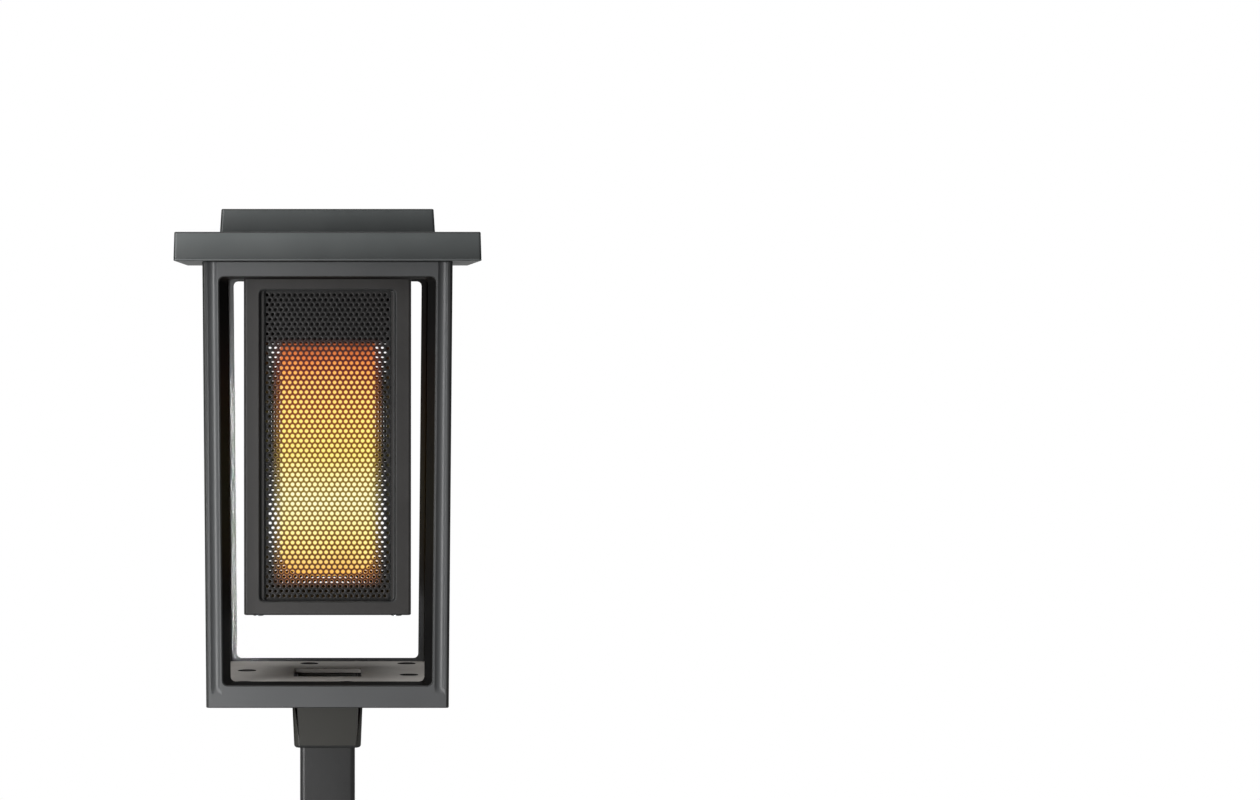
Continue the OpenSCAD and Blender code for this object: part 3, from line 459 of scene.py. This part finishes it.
# %% Flame glow
def flame_glow(name):
    r = Recipe(name)
    tongues = r.between(r.noise(36, 3, 0.55, stretch=(1, 1, 0.45)), -4 * MM, 4 * MM)
    height = r.maths("ADD", r.axis("Z"), tongues)
    level = r.between(height, 0.0, 1.0, sleeve_low.z, glow_top)
    flame = colour_ramp(r, level, [
        (0.0, "ffc860"), (0.06, "ffdc80"), (0.12, "fff79c"), (0.22, "ffffb4"), (0.34, "ffffdc"),
        (0.42, "ffffc4"), (0.53, "fff892"), (0.63, "fff68c"), (0.73, "ffee86"), (0.83, "ffda78"),
        (0.89, "ffba5e"), (0.94, "ee8646"), (1.0, "a4522e")])
    r.set(Base_Color=srgb("1c1004"), Roughness=0.6, Specular_IOR_Level=0.2, Emission_Color=flame,
          Emission_Strength=1.0, Normal=r.bump(r.noise(900, 2), 0.15, 0.1 * MM))
    return r.material


finishes["frosted_diffuser"] = flame_glow("frosted flame sleeve")
finishes["led_light"] = flame_glow("warm lights")
print("glowing finishes: frosted_diffuser led_light")

# %% [markdown]
# Solar cells are dark blue-black silicon with a faint crystal sheen, crossed by fine silver
# fingers, and they lie under a clear coat that mirrors the sky. They are the last finish, so each
# measured part then takes the one that its record names.

# %% Solar silicon
def solar_silicon(name):
    r = Recipe(name)
    fingers = r.maths("PINGPONG", r.axis("Y"), 0.8 * MM)
    line = r.between(fingers, 1.0, 0.0, 0.06 * MM, 0.10 * MM)
    crystal = r.mix(r.between(r.noise(70, 5, 0.6), 0.0, 1.0), srgb("10182f"), srgb("1c2a4c"))
    r.set(Base_Color=r.mix(line, crystal, srgb("8f97a5")), Metallic=0.3,
          Roughness=r.between(r.noise(25, 3), 0.22, 0.34), Coat_Weight=1.0, Coat_Roughness=0.06)
    return r.material


finishes["solar_silicon"] = solar_silicon("solar cell silicon")
for record_row in frame["record"]["subparts"]:
    measured = nodes[record_row["node"]]
    measured.data.materials.clear()
    measured.data.materials.append(finishes[record_row["material_slot"]])
print("every measured part has a finish")

# %% [markdown]
# ## The poles
# Each section is a square steel tube. A cube of the right size gets rounded corners, loses its
# two ends, and a thickness turns the skin into a tube with real ends. Its edges are rounded last.

# %% Square tube
TUBE_WALL = 1.5 * MM
TUBE_CORNER = 2.6 * MM


def give_finishes(piece, *materials):
    for material in materials:
        piece.data.materials.append(material)


def square_tube(part, name, body):
    low, high = corners(part)
    bm = bmesh.new()
    bmesh.ops.create_cube(bm, size=1, matrix=Matrix.Translation((low + high) / 2)
                          @ Matrix.Diagonal((*(high - low), 1)))
    upright = [e for e in bm.edges if abs(e.verts[0].co.z - e.verts[1].co.z) > 10 * MM]
    bmesh.ops.bevel(bm, geom=upright, offset=TUBE_CORNER, offset_type="OFFSET", segments=7,
                    affect="EDGES", profile=0.5, material=-1)
    ends = [f for f in bm.faces if abs(f.normal.z) > 0.9]
    bmesh.ops.delete(bm, geom=ends, context="FACES_ONLY")
    bmesh.ops.recalc_face_normals(bm, faces=bm.faces)
    bmesh.ops.solidify(bm, geom=bm.faces[:], thickness=TUBE_WALL)
    round_edges(bm, 0.25 * MM, 2, 60)
    piece = finish_piece(bm, name, body, (part,))
    keep_faces_flat(piece)
    give_finishes(piece, finishes["pole_paint"], painted_edge_shade)


square_tube("pole_lower", "lower_pole_tube", "lower_pole")
square_tube("pole_upper", "upper_pole_tube", "upper_pole")

# %% [markdown]
# ## The lantern's mouldings
# The frame, roof base, floor tray, socket, cage and stake keep their measured outlines, with
# every edge rounded as the mould or the paint would leave it. The frame comes first. Its corner
# strips take the darker second finish, painted edge shade, and the slanting faces of its window
# walls take the black third one, painted shade. Short edges where the posts' flutes end stay sharp.

# %% Frame
THIRD_FINISH = 2
WINDOW_WALL_REACH = 9.8 * MM
POST_REACH = 9.2 * MM
CORNER_STRIP = 2.4 * MM
SHORT_EDGE = 12 * MM
flute_ends = (frame_low.z + 3 * MM, frame_low.z + 10 * MM)


def paint_frame_shade(bm):
    outer = frame_high.x
    for face in bm.faces:
        middle = face.calc_center_median()
        across, out = sorted((abs(middle.x), abs(middle.y)))
        in_wall = out > outer - WINDOW_WALL_REACH
        in_window = across < outer - POST_REACH
        facing_out = max(abs(face.normal.x), abs(face.normal.y)) > 0.95
        between_rails = flute_ends[1] < middle.z < frame_high.z - 6 * MM
        # Slanting window walls get black painted shade, corner strips the dark painted edge shade.
        if in_wall and in_window and between_rails and not facing_out:
            face.material_index = THIRD_FINISH
        if across > outer - CORNER_STRIP and between_rails:
            face.material_index = EDGE_FINISH


def clear_of_flute_ends(edge):
    middle = (edge.verts[0].co + edge.verts[1].co) / 2
    near_end = flute_ends[0] < middle.z < flute_ends[1]
    return 0.0 if near_end and edge.calc_length() < SHORT_EDGE else 1.0


frame_piece = rounded_copy("lantern_frame", "lantern_frame_moulding", "head",
                           0.5 * MM, weight_of=clear_of_flute_ends, paint=paint_frame_shade)
give_finishes(frame_piece, finishes["lantern_plastic"], painted_edge_shade, black_painted_shade)

# %% [markdown]
# The tray is seen from above through the window. Its pale top has shallow round marks. Faces that
# lie just below the top, inside the rim, are painted black as painted shade in the marks.

# %% Floor tray
RECESS_DEPTH = 1 * MM
JUST_BELOW = 0.02 * MM
TRAY_RIM = 3 * MM
tray_high = corners("floor_tray")[1]


def paint_recess_shade(bm):
    for face in bm.faces:
        middle = face.calc_center_median()
        below_top = tray_high.z - RECESS_DEPTH < middle.z < tray_high.z - JUST_BELOW
        inside = max(abs(middle.x), abs(middle.y)) < tray_high.x - TRAY_RIM
        # Faces in the marks get black painted shade.
        if below_top and inside:
            face.material_index = EDGE_FINISH


tray = rounded_copy("floor_tray", "floor_tray_moulding", "head", 0.12 * MM, 2,
                    paint=paint_recess_shade)
give_finishes(tray, floor_plastic, black_painted_shade)

# %% [markdown]
# The socket's lower outside edge gets the full rounding, and its other edges three tenths of it.
# Its top faces that stand inside the frame are painted black, as painted shade.

# %% Pole socket
OUTSIDE_BORE = 15.5 * MM
socket_foot = corners("pole_socket")[0].z + 0.1 * MM


def wide_at_the_foot(edge):
    low_down = all(v.co.z < socket_foot for v in edge.verts)
    outside = all(max(abs(v.co.x), abs(v.co.y)) > OUTSIDE_BORE for v in edge.verts)
    return 1.0 if low_down and outside else 0.3


def paint_socket_top_shade(bm):
    for face in bm.faces:
        # Top faces inside the frame get black painted shade.
        if face.normal.z > 0.9 and face.calc_center_median().z > frame_low.z:
            face.material_index = THIRD_FINISH


socket = rounded_copy("pole_socket", "pole_socket_moulding", "head", 1.4 * MM,
                      weight_of=wide_at_the_foot, paint=paint_socket_top_shade)
give_finishes(socket, socket_plastic, painted_edge_shade, black_painted_shade)

# %% [markdown]
# The other mouldings and plates differ only in how widely their edges are rounded.

# %% Remaining mouldings
def dressed_copy(part, name, body, slot, width, segments=2):
    piece = rounded_copy(part, name, body, width, segments)
    give_finishes(piece, finishes[slot], painted_edge_shade)


dressed_copy("roof_base", "roof_base_plate", "head", "roof_plastic", 0.2 * MM)
dressed_copy("cage_frame", "cage_frame_shell", "head", "cage_paint", 0.75 * MM, 3)
dressed_copy("cage_floor", "cage_floor_plate", "head", "cage_paint", 0.3 * MM)
dressed_copy("module_holder", "module_holder_block", "head", "holder_plastic", 0.4 * MM)
dressed_copy("ground_stake", "ground_stake_moulding", "stake", "stake_plastic", 0.35 * MM)
dressed_copy("joint_insert", "joint_insert_plug", "lower_pole", "insert_plastic", 0.3 * MM)
dressed_copy("power_button", "power_button_cap", "button", "button_rubber", 0.25 * MM, 3)
dressed_copy("button_ring", "button_surround", "head", "insert_plastic", 0.15 * MM)

# %% [markdown]
# ## The roof
# The roof is one moulding: an eave, a flat step, an upper tier and a shallow recess for the
# solar panel. It starts as a cube, and the top face is inset and extruded for each level. Then
# the bottom is opened, the edges are rounded, and a thickness makes it a shell.

# %% Roof cap
ROOF_STEP = 21.5 * MM
EAVE_LEAN = 0.4 * MM
TIER_LEAN = 0.75 * MM
ROOF_CORNER = 1.4 * MM
ROOF_WALL = 2.0 * MM
PANEL_GAP = 0.1 * MM
UNDER_PANEL = 0.8 * MM
panel_low, panel_high = corners("solar_panel")


def top_face(bm):
    return max((f for f in bm.faces if f.normal.z > 0.9), key=lambda f: f.calc_center_median().z)


def narrow(face, by):
    for v in face.verts:
        v.co.x -= math.copysign(by, v.co.x)
        v.co.y -= math.copysign(by, v.co.y)


def stepped_block():
    bm = bmesh.new()
    middle = Vector((0, 0, (roof_low.z + tier_z) / 2))
    size = Vector((roof_high.x - roof_low.x, roof_high.y - roof_low.y, tier_z - roof_low.z))
    bmesh.ops.create_cube(bm, size=1, matrix=Matrix.Translation(middle) @ Matrix.Diagonal((*size, 1)))
    bm.normal_update()
    narrow(top_face(bm), EAVE_LEAN)
    face = top_face(bm)
    bmesh.ops.inset_region(bm, faces=[face], thickness=ROOF_STEP, use_even_offset=True)
    tier = bmesh.ops.extrude_discrete_faces(bm, faces=[face])["faces"][0]
    for v in tier.verts:
        v.co.z = roof_high.z
    narrow(tier, TIER_LEAN)
    bm.normal_update()
    rim = abs(tier.verts[0].co.x) - panel_high.x - PANEL_GAP
    bmesh.ops.inset_region(bm, faces=[tier], thickness=rim, use_even_offset=True)
    recess = bmesh.ops.extrude_discrete_faces(bm, faces=[tier])["faces"][0]
    for v in recess.verts:
        v.co.z = panel_low.z - UNDER_PANEL
    bm.normal_update()
    return bm


def roof_cap():
    bm = stepped_block()
    bottom = [f for f in bm.faces if f.normal.z < -0.9 and f.calc_center_median().z < roof_low.z + MM]
    bmesh.ops.delete(bm, geom=bottom, context="FACES_ONLY")
    upright = [e for e in bm.edges if abs(e.verts[0].co.z - e.verts[1].co.z) > 2 * MM]
    bmesh.ops.bevel(bm, geom=upright, offset=ROOF_CORNER, offset_type="OFFSET", segments=5,
                    affect="EDGES", profile=0.5, material=-1)
    bm.normal_update()
    # The rounded corner faces take the second material: painted edge shade.
    for face in bm.faces:
        if min(abs(face.normal.x), abs(face.normal.y)) > 0.6:
            face.material_index = EDGE_FINISH
    round_edges(bm, 0.6 * MM, 3, 50)
    bmesh.ops.recalc_face_normals(bm, faces=bm.faces)
    bmesh.ops.solidify(bm, geom=bm.faces[:], thickness=ROOF_WALL)
    piece = finish_piece(bm, "roof_cap_moulding", "head", ("roof_cap",))
    keep_faces_flat(piece)
    give_finishes(piece, finishes["roof_plastic"], painted_edge_shade)


roof_cap()

# %% [markdown]
# ## The perforated sheets
# Punched sheet is a field of round holes on a triangular grid. It starts as one six-sided cell
# with a twelve-sided hole, and the punch rolls the edge of the hole inward a little.

# %% One punched cell
HOLE_PITCH = 2.806 * MM
HOLE_RADIUS = 0.82 * MM
ROLLED_RADIUS = 1.06 * MM
ROLLED_DEPTH = 0.12 * MM


def verts_of(made):
    return [g for g in made["geom"] if isinstance(g, bmesh.types.BMVert)]


def hole_cell(bm):
    punched = bm.verts.layers.int.new("punched")
    bmesh.ops.create_circle(bm, segments=12, radius=HOLE_RADIUS)
    rolled = verts_of(bmesh.ops.extrude_edge_only(bm, edges=bm.edges[:]))
    for v in bm.verts:
        v[punched] = 1
        v.co.z = -ROLLED_DEPTH
    for v in rolled:
        v.co.z = 0
        v.co *= ROLLED_RADIUS / v.co.length
    # The rolled ring takes the sheet's second material, with painted highlight and glow.
    for face in bm.faces:
        face.material_index = EDGE_FINISH
    outer_edges = [e for e in bm.edges if all(v.co.z == 0 for v in e.verts)]
    inner_faces = set(bm.faces)
    for v in verts_of(bmesh.ops.extrude_edge_only(bm, edges=outer_edges)):
        v[punched] = 0
        turn = round(math.degrees(math.atan2(v.co.y, v.co.x)) / 30)
        reach = HOLE_PITCH / 2 if turn % 2 == 0 else HOLE_PITCH / math.sqrt(3)
        v.co *= reach / v.co.length
    for face in set(bm.faces) - inner_faces:
        face.material_index = 0
    return punched


# %% [markdown]
# The cell is copied along a row, and the row is copied up the sheet. The ragged edge of the
# field is filled out to a plain border, and the whole is extruded backward to make it steel.

# %% One punched sheet
HOLE_COLUMNS = 22
HOLE_ROWS = 63


def punched_sheet(width, height, thickness, shift):
    row_pitch = HOLE_PITCH * math.sqrt(3) / 2
    bm = bmesh.new()
    punched = hole_cell(bm)
    start = Vector((-(HOLE_COLUMNS - 0.5) * HOLE_PITCH / 2, -(HOLE_ROWS - 1) * row_pitch / 2, 0))
    bmesh.ops.translate(bm, verts=bm.verts, vec=start + Vector((*shift, 0)))
    cell = bm.verts[:] + bm.edges[:] + bm.faces[:]
    for column in range(1, HOLE_COLUMNS):
        copy = bmesh.ops.duplicate(bm, geom=cell)
        bmesh.ops.translate(bm, verts=verts_of(copy), vec=(column * HOLE_PITCH, 0, 0))
    row = bm.verts[:] + bm.edges[:] + bm.faces[:]
    for number in range(1, HOLE_ROWS):
        copy = bmesh.ops.duplicate(bm, geom=row)
        step = (number % 2 * HOLE_PITCH / 2, number * row_pitch, 0)
        bmesh.ops.translate(bm, verts=verts_of(copy), vec=step)
    bmesh.ops.remove_doubles(bm, verts=bm.verts, dist=HOLE_PITCH * 0.01)
    ragged = [e for e in bm.edges if e.is_boundary and not any(v[punched] for v in e.verts)]
    border = bmesh.ops.create_grid(bm, x_segments=1, y_segments=1, size=0.5,
                                   matrix=Matrix.Diagonal((width, height, 1, 1)))["verts"]
    rim = list({e for v in border for e in v.link_edges})
    bmesh.ops.delete(bm, geom=list({f for v in border for f in v.link_faces}), context="FACES_ONLY")
    bmesh.ops.triangle_fill(bm, use_beauty=True, edges=ragged + rim)
    backs = bmesh.ops.extrude_face_region(bm, geom=bm.faces[:], use_keep_orig=True)
    for v in verts_of(backs):
        v.co.z = -thickness
    bmesh.ops.recalc_face_normals(bm, faces=bm.faces)
    return bm


# %% [markdown]
# A finished sheet is stood upright, turned to its side of the cage and moved to its measured
# part. The back one's holes sit a little lower, so that the two layers cross as in the photograph.

# %% Four sheets round the cage
def place_sheet(bm, part, turn):
    low, high = corners(part)
    middle = (low + high) / 2
    upright = Matrix.Rotation(math.radians(90), 4, "X")
    around = Matrix.Rotation(math.radians(turn), 4, "Z")
    bmesh.ops.transform(bm, verts=bm.verts, matrix=around @ upright)
    flat = [v.co.copy() for v in bm.verts]
    centre = Vector([(min(c[i] for c in flat) + max(c[i] for c in flat)) / 2 for i in range(3)])
    bmesh.ops.translate(bm, verts=bm.verts, vec=middle - centre)


sheet_low, sheet_high = corners("mesh_front")
sheet_size = (sheet_high.x - sheet_low.x, sheet_high.z - sheet_low.z, sheet_high.y - sheet_low.y)
as_cut = (0, 0)
back_shift = (0, -0.29 * MM)
for side, turn, shift in (("front", 0, as_cut), ("right", 90, as_cut), ("back", 180, back_shift),
                          ("left", 270, as_cut)):
    sheet = punched_sheet(*sheet_size, shift)
    place_sheet(sheet, "mesh_" + side, turn)
    piece = finish_piece(sheet, "punched_sheet_" + side, "head", ("mesh_" + side,))
    keep_faces_flat(piece)
    give_finishes(piece, finishes["mesh_paint"], rolled_edge_painted_glow)

# %% [markdown]
# ## The flame module
# The sleeve is turned: a profile of six points, with the two corners at its foot rounded, is
# spun all the way round the pole's axis.

# %% Spun pieces
SLEEVE_WALL = 1.6 * MM
FOOT_RADIUS = 12 * MM


def spun(profile, rounds):
    bm = bmesh.new()
    chain = [bm.verts.new((x, 0, z)) for x, z in profile]
    for first, second in zip(chain, chain[1:]):
        bm.edges.new((first, second))
    for index, radius in rounds:
        bmesh.ops.bevel(bm, geom=[chain[index]], offset=radius, offset_type="OFFSET", segments=10,
                        affect="VERTICES", profile=0.5, material=-1)
    bmesh.ops.spin(bm, geom=bm.verts[:] + bm.edges[:], cent=(0, 0, 0), axis=(0, 0, 1),
                   angle=math.tau, steps=72, use_merge=True)
    bmesh.ops.remove_doubles(bm, verts=bm.verts, dist=0.001 * MM)
    bmesh.ops.recalc_face_normals(bm, faces=bm.faces)
    return bm


outer_radius = sleeve_high.x
inner_radius = outer_radius - SLEEVE_WALL
foot = sleeve_low.z
inner_foot = foot + SLEEVE_WALL
sleeve_outline = [(0, foot), (outer_radius, foot), (outer_radius, sleeve_high.z),
                  (inner_radius, sleeve_high.z), (inner_radius, inner_foot), (0, inner_foot)]
sleeve = spun(sleeve_outline, [(1, FOOT_RADIUS), (4, FOOT_RADIUS - SLEEVE_WALL)])
sleeve_piece = finish_piece(sleeve, "frosted_sleeve", "head", ("diffuser",))
give_finishes(sleeve_piece, finishes["frosted_diffuser"])

# %% [markdown]
# ## Stage, light and camera
# The floor is a plain pale disc whose glow grows toward its rim, so that it fades into a white
# background with no hard horizon.

# %% Floor
FLOOR_RADIUS = 5.5


def floor_finish():
    r = Recipe("pale floor")
    length = r.add("ShaderNodeVectorMath", {"operation": "LENGTH"})
    r.put(length, 0, r.place)
    distance = length.outputs["Value"]
    fade = r.between(distance, 0.0, 1.0, FLOOR_RADIUS * 0.35, FLOOR_RADIUS * 0.95)
    tone = r.mix(r.between(r.noise(3, 4), 0.0, 1.0), srgb("f1f0ee"), srgb("f6f5f3"))
    r.set(Base_Color=tone, Roughness=0.75, Emission_Color=(1, 1, 1, 1), Emission_Strength=fade)
    return r.material


bm = bmesh.new()
bmesh.ops.create_circle(bm, cap_ends=True, segments=96, radius=FLOOR_RADIUS)
floor_mesh = bpy.data.meshes.new("floor")
bm.to_mesh(floor_mesh)
bm.free()
floor = bpy.data.objects.new("floor", floor_mesh)
floor.location.z = -1 * MM
floor_mesh.materials.append(floor_finish())
bpy.context.scene.collection.objects.link(floor)
print("floor radius:", FLOOR_RADIUS)

# %% [markdown]
# The world behind everything looks white, but gives only a faint light, so that the lamps set
# the shading.

# %% World
WORLD_LIGHT = 0.07
world = bpy.data.worlds.new("white studio")
bpy.context.scene.world = world
world.use_nodes = True
tree = world.node_tree
backdrop = tree.nodes["Background"]
backdrop.inputs["Color"].default_value = (1, 1, 1, 1)
seen = tree.nodes.new("ShaderNodeLightPath")
level = tree.nodes.new("ShaderNodeMapRange")
level.inputs["To Min"].default_value = WORLD_LIGHT
level.inputs["To Max"].default_value = 1.0
tree.links.new(seen.outputs["Is Camera Ray"], level.inputs["Value"])
tree.links.new(level.outputs["Result"], backdrop.inputs["Strength"])
print("world light:", WORLD_LIGHT)

# %% [markdown]
# A tall soft light stands close to the lantern's left front corner, so brightness falls away
# toward the right. A very small, narrow one shines through the lantern onto the post at the back
# left. A wide one overhead keeps the floor pale, and two more fill the back and the pole.

# %% Lights
def soft_light(name, place, aim, size, power, spread=180):
    lamp = bpy.data.lights.new(name, "AREA")
    lamp.spread = math.radians(spread)
    lamp.shape = "RECTANGLE"
    lamp.size, lamp.size_y = size
    lamp.energy = power
    stand = bpy.data.objects.new(name, lamp)
    stand.location = place
    stand.rotation_euler = (Vector(aim) - Vector(place)).to_track_quat("-Z", "Y").to_euler()
    stand.visible_camera = False
    bpy.context.scene.collection.objects.link(stand)
    print("light:", name, power, "W")


head_z = (frame_low.z + frame_high.z) / 2
window_z = head_z - 0.03
soft_light("near key", (-0.24, -0.36, head_z), (0, 0, head_z), (0.14, 0.7), 2.6)
soft_light("side window", (-0.17, -0.30, window_z), (-0.050, 0.055, window_z),
           (0.01, 0.16), 0.05, spread=12)
soft_light("overhead", (0, -0.2, 3.6), (0, 0, 0), (3.2, 3.2), 95)
soft_light("back fill", (0.9, 1.9, head_z + 0.2), (0, 0, head_z), (1.0, 1.4), 8)
soft_light("pole light", (-0.7, -1.8, 0.9), (0, 0, 0.8), (0.6, 1.0), 6)

# %% [markdown]
# The camera stands level with the upper part of the lantern's front, tilted down a little, and a
# sideways shift puts the torch left of the middle as in the photograph.

# %% Camera
EYE = (0.0006, -1.575, 1.3518)
LOOKING_DOWN = 1.605
camera_data = bpy.data.cameras.new("camera")
camera_data.sensor_width = 36
camera_data.lens = 87.84
camera_data.shift_x = 0.2391
camera = bpy.data.objects.new("camera", camera_data)
camera.location = EYE
camera.rotation_euler = (math.radians(90 - LOOKING_DOWN), 0, 0)
bpy.context.scene.collection.objects.link(camera)
bpy.context.scene.camera = camera
view = bpy.context.scene.view_settings
view.view_transform = "Standard"
view.look = "None"
print("camera at", EYE, "with a", camera_data.lens, "mm lens")
